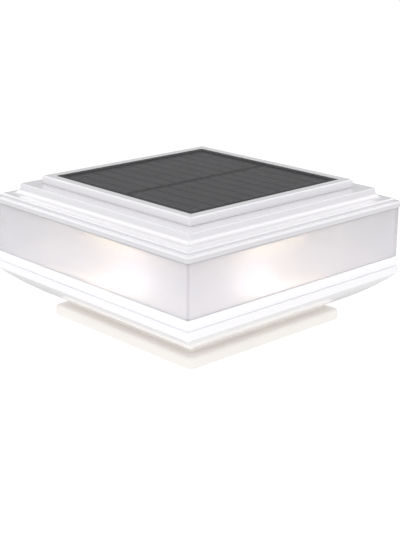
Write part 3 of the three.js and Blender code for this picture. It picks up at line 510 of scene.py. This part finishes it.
def cell_material():
    """Dark silicon with faint pale bands across it, darker towards the long edges of each strip."""
    material, nodes, shader, _ = new_material("cell_silicon")
    place = nodes.object_place()
    wave = nodes.add("ShaderNodeTexWave", bands_direction="Y")
    wave.inputs["Scale"].default_value = BAND_SCALE
    nodes.join(place, wave.inputs["Vector"])
    band = nodes.ramp(wave.outputs["Fac"], 0.0, BAND_STRENGTH, 0.9, 1.0)
    cloud = nodes.noise(place, 55.0, 3.0)
    dark = nodes.colours(cloud, (0.084, 0.084, 0.090), (0.092, 0.092, 0.098))
    mix = nodes.add("ShaderNodeMix", data_type="RGBA")
    nodes.join(band, mix.inputs[0])
    nodes.join(dark, mix.inputs[6])
    mix.inputs[7].default_value = (0.17, 0.17, 0.175, 1)
    string_low, string_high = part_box("cell_string_front")
    pitch = (string_high.x - string_low.x + CELL_GAP) / CELL_COLUMNS
    x, _, _ = nodes.axes(place)
    along = nodes.math("DIVIDE", nodes.math("SUBTRACT", x, string_low.x - CELL_GAP / 2), pitch)
    off_middle = nodes.math("ABSOLUTE", nodes.math("SUBTRACT", nodes.math("FRACT", along), 0.5))
    edge_start = 0.5 - CELL_EDGE / pitch
    edge_end = 0.5 - CELL_GAP / 2 / pitch
    edge = nodes.smooth(off_middle, 1.0, CELL_EDGE_SHADE, edge_start, edge_end)
    nodes.join(nodes.shaded(mix.outputs[2], edge), shader.inputs["Base Color"])
    nodes.join(nodes.ramp(cloud, 0.3, 0.42), shader.inputs["Roughness"])
    nodes.join(nodes.bump(nodes.noise(place, 2400.0, 3.0), 0.01 * MM), shader.inputs["Normal"])
    shader.inputs["Specular IOR Level"].default_value = CELL_SHINE
    return material


PLATE_HEIGHT = 5.5 * MM
FLANGE_EASE = 0.5 * MM
FLANGE_PAINTED_SHADE = 0.83
RIM_PAINTED_GLOW = 0.12  # painted light: emission that brightens the housing's foot
RIM_PAINTED_GLOW_START = 1 * MM
GAP_PAINTED_GLOW = 0.04  # and painted light on the plate's upstand, in the gap under the housing
GAP_PAINTED_GLOW_EASE = 0.5 * MM

# painted shade on the cover's flange side: its colour is greyer below a line above the lens
flange_painted_shade = (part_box("lens")[1].z + FLANGE_LINE, FLANGE_EASE, FLANGE_PAINTED_SHADE)
# painted light: emission on the housing's foot and on the plate's upstand, neither of them a lamp
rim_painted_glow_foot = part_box("lower_housing")[0].z + RIM_PAINTED_GLOW_START
rim_painted_glow = ((1.0, 0.97, 0.97), RIM_PAINTED_GLOW, rim_painted_glow_foot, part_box("mounting_plate")[1].z)
cover_white = moulded("cover_white", WHITE, 0.12, 0.03, 0.012, coat=1.0, shade=flange_painted_shade)
housing_white = moulded("housing_white", HOUSING, 0.2, 0.04, 0.012, coat=0.5, glow=rim_painted_glow)
gap_painted_glow = ((1.0, 0.92, 0.86), GAP_PAINTED_GLOW, PLATE_HEIGHT + GAP_PAINTED_GLOW_EASE, PLATE_HEIGHT - GAP_PAINTED_GLOW_EASE)
plate_ivory = moulded("plate_ivory", IVORY, 0.4, glow=gap_painted_glow)
reflector_white = reflector_material()
lens_frost = lens_material()
cells_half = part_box("cell_string_back")[1].y
panel_sheet = veil("panel_sheet", (0.06, 0.06, 0.065), 0.3, 0.25, cells_half)
cell_silicon = cell_material()
panel_black = moulded("panel_black", (0.014, 0.013, 0.016), 0.6, shine=0.1)
adhesive_foam = moulded("adhesive_foam", (0.7, 0.68, 0.63), 0.85, 0.05, 0.08, 900.0, 0.05 * MM)
seal_rubber = moulded("seal_rubber", (0.32, 0.32, 0.34), 0.6, 0.08, 0.06)
lamp_board_white = moulded("lamp_board_white", (0.8, 0.82, 0.8), 0.4)
led_warm = led_material()
board_green = moulded("board_green", (0.02, 0.16, 0.06), 0.35, 0.06, 0.15)
can_aluminium = metal("can_aluminium", (0.78, 0.79, 0.8), 0.28)
connector_ivory = moulded("connector_ivory", (0.76, 0.72, 0.62), 0.4)
switch_black = moulded("switch_black", (0.025, 0.025, 0.028), 0.4, 0.08, 0.1)
tray_grey = moulded("tray_grey", (0.45, 0.45, 0.47), 0.45)
battery_wrap = moulded("battery_wrap", (0.015, 0.13, 0.05), 0.25, 0.06, 0.1)
contact_nickel = metal("contact_nickel", (0.66, 0.63, 0.58), 0.25)
screw_steel = metal("screw_steel", (0.62, 0.63, 0.64), 0.3)
lead_red = moulded("lead_red", (0.42, 0.015, 0.012), 0.4, 0.06, 0.08)
lead_black = moulded("lead_black", (0.012, 0.012, 0.014), 0.4, 0.06, 0.08)
lead_white = moulded("lead_white", (0.7, 0.69, 0.65), 0.42, 0.06, 0.05)

SLOT_MATERIALS = {
    "cover_white": cover_white,
    "housing_white": housing_white,
    "plate_ivory": plate_ivory,
    "reflector_white": reflector_white,
    "lens_frost": lens_frost,
    "panel_sheet": panel_sheet,
    "cell_silicon": cell_silicon,
    "panel_black": panel_black,
    "adhesive_foam": adhesive_foam,
    "seal_rubber": seal_rubber,
    "lamp_board_white": lamp_board_white,
    "led_warm": led_warm,
    "board_green": board_green,
    "can_aluminium": can_aluminium,
    "connector_ivory": connector_ivory,
    "switch_black": switch_black,
    "tray_grey": tray_grey,
    "battery_wrap": battery_wrap,
    "contact_nickel": contact_nickel,
    "screw_steel": screw_steel,
    "lead_red": lead_red,
    "lead_black": lead_black,
    "lead_white": lead_white,
}

for entry in frame["record"]["subparts"]:
    node = frame["nodes"][entry["node"]]
    node.data.materials.clear()
    node.data.materials.append(SLOT_MATERIALS[entry["material_slot"]])
    node.data.shade_smooth()
    split = node.modifiers.new("split", "EDGE_SPLIT")
    split.split_angle = SHARP_ANGLE

# ------------------------------------------------------------------ fine outer pieces

WALL = 2.2 * MM
GAP = 0.3 * MM
EDGE = 0.5 * MM
FINE = 0.15 * MM  # break of a crisp edge
BODY_CORNER = 2.4 * MM
LENS_WALL = 2.2 * MM
LENS_CORNER = 1.4 * MM
SEAT_GAP = 0.04 * MM  # the lens stands this close to its seats
GROOVE = 0.18 * MM
FLANGE_HEIGHT = 3.1 * MM
FLANGE_TREAD = 2.8 * MM
STEP_HEIGHT = 1.5 * MM
STEP_TREAD = 3.6 * MM
COVE_HEIGHT = 5.3 * MM
COVE_RUN = 3.9 * MM
LEDGE_WIDTH = 8.4 * MM
LOCATING_RIB = 1.8 * MM
POCKET_DEPTH = 4.4 * MM
CREASE = 0.35 * MM  # fine crease where the bezel meets the ledge

SEAL_WIDTH = 1.2 * MM
SEAL_HEIGHT = 1 * MM
TAPER_BULGE = 1.8 * MM
RIM_HEIGHT = 3.9 * MM
SPIGOT_CLEARANCE = 0.4 * MM
SPIGOT_WALL = 2.4 * MM
PLATE_CORNER = 3 * MM
PLATE_RIM = 9 * MM
SCREW_HEAD = 1.8 * MM
SCREW_HOLE = 1.6 * MM
BOSS_RISE = 2.8 * MM
BOSS_WALL = 0.75 * MM
RECESS_CUT = 4 * MM  # the lengths of the cuts, which run past the faces that they open
HOLE_CUT = 12 * MM
BUTTON_CUT = 8 * MM
OVERCUT = 1 * MM
PAD_LENGTH = 14 * MM
PAD_WIDTH = 4 * MM
PAD_HEIGHT = 2.6 * MM
PAD_INSET = 8 * MM
TRAY_WALL = 1.6 * MM
DOOR_MARGIN = 1 * MM
DOOR_CLEARANCE = 0.4 * MM
HINGE_RADIUS = 1.7 * MM
LUG_LENGTH = 3.6 * MM
REFLECTOR_WALL = 1.6 * MM
REFLECTOR_FLOOR = 2 * MM
REFLECTOR_SPREAD = 2.6 * MM
REFLECTOR_FILLET = 2 * MM
REFLECTOR_BEND_DROP = 2 * MM
REFLECTOR_CORNER = 14 * MM
LIP_HEIGHT = 3.2 * MM
LAMP_BOARD_DROP = 10.6 * MM
LEAD_HOLE = 3.4 * MM
PANEL_CORNER = 1 * MM

cover_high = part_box("top_cover")[1]
sheet_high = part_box("panel_cover_sheet")[1]
lens_low, lens_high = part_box("lens")

flange_foot = lens_high.z + GAP
rib_foot = flange_foot - LOCATING_RIB
flange_top = flange_foot + FLANGE_HEIGHT
step_top = flange_top + STEP_HEIGHT
ledge_top = step_top + COVE_HEIGHT
body_half = cover_high.x
nosing_half = body_half - FLANGE_TREAD
cove_foot_half = nosing_half - STEP_TREAD
ledge_half = cove_foot_half - COVE_RUN
bezel_half = ledge_half - LEDGE_WIDTH
pocket_half = sheet_high.x + GAP
lens_inner = lens_high.x - LENS_WALL
locating_half = lens_inner - GAP
plate_low, plate_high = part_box("mounting_plate")
taper_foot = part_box("lower_housing")[0].z
plate_top = plate_low.z + PLATE_HEIGHT
spigot_top = plate_high.z
plate_half = plate_high.x
socket_half = plate_half - PLATE_RIM
spigot_half = socket_half + SPIGOT_WALL
guide_half = spigot_half + SPIGOT_CLEARANCE
socket_wall = guide_half + WALL
rim_top = lens_low.z - GAP
rim_foot = rim_top - RIM_HEIGHT
socket_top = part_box("battery_tray")[0].z - GAP - WALL


def rounded_edge(half, top, size):
    return arc((half, top - size), (half, top), (half - size, top))


def cover_section():
    """From the middle of the panel's pocket, over the bezel and down the steps, to the ceiling."""
    ceiling = ledge_top - WALL
    rib = locating_half - LOCATING_RIB
    top = cover_high.z
    cove_control = (ledge_half, step_top + EDGE)
    cove = arc((ledge_half, ledge_top - EDGE), cove_control, (cove_foot_half, step_top), 2 * ARC_STEPS)
    nosing_control = (nosing_half, step_top)
    nosing_foot = (nosing_half, flange_top + EDGE / 2)
    foot = flange_foot
    return [
        (pocket_half - 2 * MM, top - POCKET_DEPTH),
        (pocket_half, top - POCKET_DEPTH),
        *arc((pocket_half, top - FINE), (pocket_half, top), (pocket_half + FINE, top), 3),
        *reversed(rounded_edge(bezel_half, top, 2 * EDGE)),
        (bezel_half, ledge_top + CREASE),
        (bezel_half - CREASE, ledge_top),
        (bezel_half, ledge_top - CREASE),
        (bezel_half + CREASE, ledge_top),
        *arc((ledge_half - EDGE, ledge_top), (ledge_half, ledge_top), (ledge_half, ledge_top - EDGE)),
        *cove,
        (nosing_half - STEP_HEIGHT, step_top),
        *arc((nosing_half - STEP_HEIGHT, step_top), nosing_control, nosing_foot),
        (nosing_half, flange_top),
        *reversed(rounded_edge(body_half, flange_top, 2 * EDGE)),
        *arc((body_half, foot + EDGE / 2), (body_half, foot), (body_half - EDGE / 2, foot)),
        (locating_half, foot),
        (locating_half, rib_foot + FINE),
        (locating_half - FINE, rib_foot),
        (rib, rib_foot),
        (rib, flange_top - WALL),
        (cove_foot_half - 1 * MM, flange_top - WALL / 2),
        (ledge_half - WALL, ceiling),
        (pocket_half - 2 * MM, ceiling),
    ]


def top_cover():
    mesh = square_turned(cover_section(), BODY_CORNER, True)
    new_piece("top_cover_shell", mesh, cover_white, "lamp", ["top_cover"])


def lens():
    outer = lens_high.x
    foot = lens_low.z - GAP + SEAT_GAP
    head = lens_high.z + GAP - SEAT_GAP
    line = lens_low.z + LIP_LINE
    section = [
        *arc((outer - FINE, foot), (outer, foot), (outer, foot + FINE), 3),
        (outer, line - GROOVE),
        (outer - GROOVE, line),
        (outer, line + GROOVE),
        *arc((outer, head - FINE), (outer, head), (outer - FINE, head), 3),
        (lens_inner, head),
        (lens_inner, foot),
    ]
    mesh = square_turned(section, LENS_CORNER, False)
    new_piece("lens_band", mesh, lens_frost, "lamp", ["lens"])


def taper(shrink):
    """The swelling underside, from its foot out to the rim, shrink inside the outer face."""
    foot = (guide_half + WALL - shrink, taper_foot)
    top = (body_half - shrink, rim_foot)
    middle = ((foot[0] + top[0]) / 2 + TAPER_BULGE, (foot[1] + top[1]) / 2 - TAPER_BULGE)
    return arc(foot, middle, top, 3 * ARC_STEPS)


def housing_section():
    """From the middle of the socket's ceiling, over the inside of the bowl, round the rim and back."""
    ceiling = socket_top + WALL
    lip = lens_inner - WALL
    bowl = [(half, height + WALL) for half, height in taper(WALL / 2) if socket_wall < half < lip]
    seat = (LENS_WALL - SEAL_WIDTH) / 2 - GAP
    return [
        (socket_half - WALL, ceiling),
        (socket_wall, ceiling),
        (socket_wall, bowl[0][1]),
        *bowl,
        (lip, rim_foot + WALL / 2),
        (lip, rim_top),
        (lens_inner + seat, rim_top),
        (lens_inner + seat, rim_top - SEAL_HEIGHT - GAP),
        (lens_high.x - seat, rim_top - SEAL_HEIGHT - GAP),
        (lens_high.x - seat, rim_top),
        *arc((body_half - EDGE, rim_top), (body_half, rim_top), (body_half, rim_top - EDGE)),
        *arc((body_half, rim_foot + EDGE), (body_half, rim_foot), taper(0)[-2]),
        *reversed(taper(0)[:-3]),
        (guide_half, taper_foot),
        (guide_half, spigot_top + GAP),
        (socket_half, spigot_top + GAP),
        (socket_half, socket_top),
        (socket_half - WALL, socket_top),
    ]


def housing_steps():
    """What is joined to the housing and what is cut out of it, in order."""
    ceiling = socket_top + WALL
    steps = []
    for number in range(1, 5):
        low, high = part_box(f"case_screw_{number}")
        middle = (low + high) / 2
        seat = low.z + SCREW_HEAD + GAP
        boss = ceiling + BOSS_RISE
        recess = (high.x - low.x) / 2 + 1.5 * GAP
        at = (middle.x, middle.y)
        post = rod_mesh((*at, (socket_top + boss) / 2), recess + BOSS_WALL, boss - socket_top)
        steps.append(("UNION", post))
        steps.append(("DIFFERENCE", rod_mesh((*at, seat - RECESS_CUT / 2), recess, RECESS_CUT)))
        steps.append(("DIFFERENCE", rod_mesh((*at, boss), SCREW_HOLE, HOLE_CUT)))
    for turn in range(4):
        reach = socket_half - PAD_INSET
        low = Vector((-PAD_LENGTH / 2, reach - PAD_WIDTH / 2, socket_top - PAD_HEIGHT))
        pad = box_mesh(low, (PAD_LENGTH / 2, reach + PAD_WIDTH / 2, socket_top + OVERCUT))
        bmesh.ops.rotate(pad, verts=pad.verts, matrix=Matrix.Rotation(turn * math.pi / 2, 3, "Z"))
        steps.append(("UNION", pad))
    cap_low, cap_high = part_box("switch_cap")
    cap_middle = ((cap_low.x + cap_high.x) / 2, (cap_low.y + cap_high.y) / 2, socket_top)
    cap_radius = (cap_high.x - cap_low.x) / 2
    steps.append(("DIFFERENCE", rod_mesh(cap_middle, cap_radius + GAP, BUTTON_CUT, sides=BUTTON_SIDES)))
    tray_low, tray_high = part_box("battery_tray")
    room = DOOR_MARGIN - TRAY_WALL
    under, over = socket_top - OVERCUT, ceiling + OVERCUT
    door_low = (tray_low.x - room, tray_low.y - room, under)
    steps.append(("DIFFERENCE", box_mesh(door_low, (tray_high.x + room, tray_high.y + room, over))))
    pin_low, pin_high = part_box("door_hinge_pin")
    pin = (pin_low + pin_high) / 2
    notch = pin_high.x + DOOR_CLEARANCE
    notch_back = pin.y - HINGE_RADIUS - DOOR_CLEARANCE
    steps.append(("DIFFERENCE", box_mesh((-notch, notch_back, under), (notch, tray_low.y + 2 * MM, over))))
    for side in (-1, 1):
        x = side * (pin_high.x - LUG_LENGTH / 2)
        steps.append(("UNION", rod_mesh((x, pin.y, pin.z), HINGE_RADIUS, LUG_LENGTH, "X")))
        root_low = (x - LUG_LENGTH / 2, notch_back - OVERCUT, socket_top)
        steps.append(("UNION", box_mesh(root_low, (x + LUG_LENGTH / 2, pin.y, ceiling))))
    bore = (pin_high.z - pin_low.z) / 2 + GAP
    steps.append(("DIFFERENCE", rod_mesh(pin, bore, 2 * (pin_high.x + OVERCUT), "X")))
    return steps


def lower_housing():
    mesh = square_turned(housing_section(), BODY_CORNER, True)
    mesh = carve(mesh, housing_steps())
    new_piece("lower_housing_shell", mesh, housing_white, "lamp", ["lower_housing"])


def mounting_plate():
    section = [
        *arc((plate_half - EDGE, plate_low.z), (plate_half, plate_low.z), (plate_half, plate_low.z + EDGE)),
        *rounded_edge(plate_half, plate_top, 3 * EDGE),
        *arc((spigot_half + EDGE, plate_top), (spigot_half, plate_top), (spigot_half, plate_top + EDGE)),
        *arc((spigot_half, spigot_top - EDGE), (spigot_half, spigot_top), (spigot_half - EDGE, spigot_top)),
        (socket_half + FINE, spigot_top),
        (socket_half, spigot_top - FINE),
        (socket_half, plate_low.z + FINE),
        (socket_half + FINE, plate_low.z),
    ]
    mesh = square_turned(section, PLATE_CORNER, False)
    new_piece("mounting_plate_body", mesh, plate_ivory, "plate", ["mounting_plate"])


def reflector():
    """The white tray: an outer lip behind the lens's foot, a flat floor and a tall box round the middle."""
    tray_low, tray_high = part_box("reflector")
    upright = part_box("lamp_board_right")[0].x - GAP
    foot = upright + REFLECTOR_SPREAD
    floor_top = tray_low.z + REFLECTOR_FLOOR
    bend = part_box("lamp_board_front")[0].z - REFLECTOR_BEND_DROP
    lip = tray_high.x - REFLECTOR_WALL
    lip_top = tray_low.z + LIP_HEIGHT
    round_lip = (LIP_HEIGHT - REFLECTOR_FLOOR) / 2
    fillet = REFLECTOR_FILLET
    section = [
        (tray_high.x, tray_low.z),
        *arc((tray_high.x, lip_top - FINE), (tray_high.x, lip_top), (tray_high.x - FINE, lip_top), 3),
        *arc((lip + FINE, lip_top), (lip, lip_top), (lip, lip_top - FINE), 3),
        *arc((lip, floor_top + round_lip), (lip, floor_top), (lip - round_lip, floor_top)),
        *arc((foot + fillet, floor_top), (foot, floor_top), (foot - EDGE, floor_top + fillet)),
        (upright, bend),
        (upright, tray_high.z),
        (upright - REFLECTOR_WALL, tray_high.z),
        (upright - REFLECTOR_WALL, bend),
        (foot - REFLECTOR_WALL, floor_top),
        (foot - REFLECTOR_WALL, tray_low.z),
    ]
    mesh = square_turned(section, REFLECTOR_CORNER, False)
    hole = tray_high.z - LAMP_BOARD_DROP / 2
    holes = [("DIFFERENCE", rod_mesh((0, 0, hole), LEAD_HOLE / 2, 2 * foot, axis)) for axis in "XY"]
    mesh = carve(mesh, holes)
    new_piece("reflector_tray", mesh, reflector_white, "lamp", ["reflector"])


def panel_sheet_piece():
    low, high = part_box("panel_cover_sheet")
    section = [
        (high.x - EDGE, low.z),
        (high.x, low.z),
        *arc((high.x, high.z - FINE), (high.x, high.z), (high.x - FINE, high.z), 4),
        (high.x - EDGE, high.z),
    ]
    mesh = square_turned(section, PANEL_CORNER, True)
    new_piece("panel_sheet_top", mesh, panel_sheet, "lamp", ["panel_cover_sheet"])


top_cover()
lens()
lower_housing()
mounting_plate()
reflector()
panel_sheet_piece()

# ------------------------------------------------------------------ floor, light and camera

FLOOR_SIZE = 8.0
SKY_LIGHT = 0.98  # how bright the studio is to a matte surface
FLOOR_LIGHT = 1.24  # how pale the floor is to the object that stands on it
GLOSS_LOW = 0.46  # how bright the studio looks in reflections
GLOSS_HIGH = 2.6  # and where its two large side panels stand, left behind and right in front
PANEL_SIDES = (0.25, 0.8)  # how far sideways each side panel fades in
PANEL_HEIGHTS = (0.28, 0.5)  # and how high
SKY_SEEN = 1.05  # how bright the studio is to the camera
FLOOR_SEEN = 0.86
FLOOR_GLOSS = 0.3
FLOOR_GREY = 0.2  # share of the light that the floor sends back
FLOOR_DROP = 0.02 * MM  # the floor lies this far below the object


def ray_switch(nodes, camera_value, gloss_value, matte_value):
    """One strength for the camera, one for mirror-like reflections and one for all other light."""
    path = nodes.add("ShaderNodeLightPath")
    seen = nodes.add("ShaderNodeMix")
    nodes.join(path.outputs["Is Camera Ray"], seen.inputs["Factor"])
    mirrored = nodes.add("ShaderNodeMix")
    nodes.join(path.outputs["Is Glossy Ray"], mirrored.inputs["Factor"])
    mirrored.inputs[2].default_value = matte_value
    if isinstance(gloss_value, float):
        mirrored.inputs[3].default_value = gloss_value
    else:
        nodes.join(gloss_value, mirrored.inputs[3])
    nodes.join(mirrored.outputs[0], seen.inputs[2])
    seen.inputs[3].default_value = camera_value
    return seen.outputs[0]


def floor():
    """A white studio floor that keeps only a faint shadow of what stands on it."""
    bpy.ops.mesh.primitive_plane_add(size=FLOOR_SIZE, location=(0, 0, cad_low.z - FLOOR_DROP))
    plane = bpy.context.object
    plane.name = "floor"
    material, nodes, shader, _ = new_material("floor_white")
    place = nodes.object_place()
    cloud = nodes.noise(place, 3.0, 2.0)
    nodes.join(nodes.colours(cloud, (0.19, 0.19, 0.19), (0.21, 0.21, 0.21)), shader.inputs["Base Color"])
    shader.inputs["Roughness"].default_value = 1.0
    shader.inputs["Specular IOR Level"].default_value = 0.0
    shader.inputs["Emission Color"].default_value = (1, 1, 1, 1)
    strength = ray_switch(nodes, FLOOR_SEEN, FLOOR_GLOSS, FLOOR_LIGHT - FLOOR_GREY * SKY_LIGHT)
    nodes.join(strength, shader.inputs["Emission Strength"])
    plane.data.materials.append(material)


def sky():
    """A pale studio: white to the camera, even to matte surfaces, with two side panels in reflections."""
    world = bpy.data.worlds.new("studio")
    bpy.context.scene.world = world
    world.use_nodes = True
    tree = world.node_tree
    tree.nodes.clear()
    nodes = Nodes(tree)
    place = nodes.add("ShaderNodeTexCoord").outputs["Generated"]
    x, y, height = nodes.axes(place)
    sideways = nodes.math("ABSOLUTE", nodes.math("MULTIPLY", nodes.math("SUBTRACT", y, x), math.sqrt(0.5)))
    beside = nodes.smooth(sideways, 0.0, 1.0, *PANEL_SIDES)
    above = nodes.smooth(height, 0.0, 1.0, *PANEL_HEIGHTS)
    lobe = nodes.math("MULTIPLY", beside, above)
    gloss = nodes.math("MULTIPLY_ADD", lobe, GLOSS_HIGH - GLOSS_LOW, GLOSS_LOW)
    background = nodes.add("ShaderNodeBackground")
    background.inputs["Color"].default_value = (1.0, 0.995, 1.0, 1)
    nodes.join(ray_switch(nodes, SKY_SEEN, gloss, SKY_LIGHT), background.inputs["Strength"])
    output = nodes.add("ShaderNodeOutputWorld")
    nodes.join(background.outputs["Background"], output.inputs["Surface"])


def softbox(name, place, target, size, power):
    """A white rectangular lamp at one place, aimed at another."""
    light = bpy.data.lights.new(name, "AREA")
    light.shape = "RECTANGLE"
    light.size, light.size_y = size
    light.energy = power
    lamp = bpy.data.objects.new(name, light)
    bpy.context.scene.collection.objects.link(lamp)
    lamp.location = place
    lamp.rotation_euler = (Vector(target) - Vector(place)).to_track_quat("-Z", "Y").to_euler()


CAMERA_AZIMUTH = math.radians(-43.1)
CAMERA_ELEVATION = math.radians(17.5)
CAMERA_ROLL = math.radians(0.3)
CAMERA_DISTANCE = 0.6147
CAMERA_LENS = 79.0
AIM_DROP = 46.7 * MM  # the view's centre lies this far below the middle of the panel, across the view
AIM_RIGHT = 1.6 * MM


def camera():
    """A long lens that looks at the corner between the front and the left side."""
    side = Vector((math.sin(CAMERA_AZIMUTH), -math.cos(CAMERA_AZIMUTH), 0))
    back = side * math.cos(CAMERA_ELEVATION) + Vector((0, 0, math.sin(CAMERA_ELEVATION)))
    right = Vector((math.cos(CAMERA_AZIMUTH), math.sin(CAMERA_AZIMUTH), 0))
    up = back.cross(right)
    turn = Matrix.Rotation(CAMERA_ROLL, 3, back)
    right = turn @ right
    up = turn @ up
    panel = Vector((0, 0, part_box("panel_cover_sheet")[1].z))
    place = panel + back * CAMERA_DISTANCE - up * AIM_DROP + right * AIM_RIGHT
    data = bpy.data.cameras.new("camera")
    data.lens = CAMERA_LENS
    data.sensor_width = 36.0
    data.clip_start = 0.01
    data.clip_end = 50.0
    view = bpy.data.objects.new("camera", data)
    bpy.context.scene.collection.objects.link(view)
    view.matrix_world = Matrix.Translation(place) @ Matrix((right, up, back)).transposed().to_4x4()
    bpy.context.scene.camera = view


floor()
sky()
softbox("key", (-0.9, -0.2, 0.9), (0, 0, 0.05), (0.7, 0.7), 1.1)
camera()
bpy.context.scene.view_settings.view_transform = "Standard"
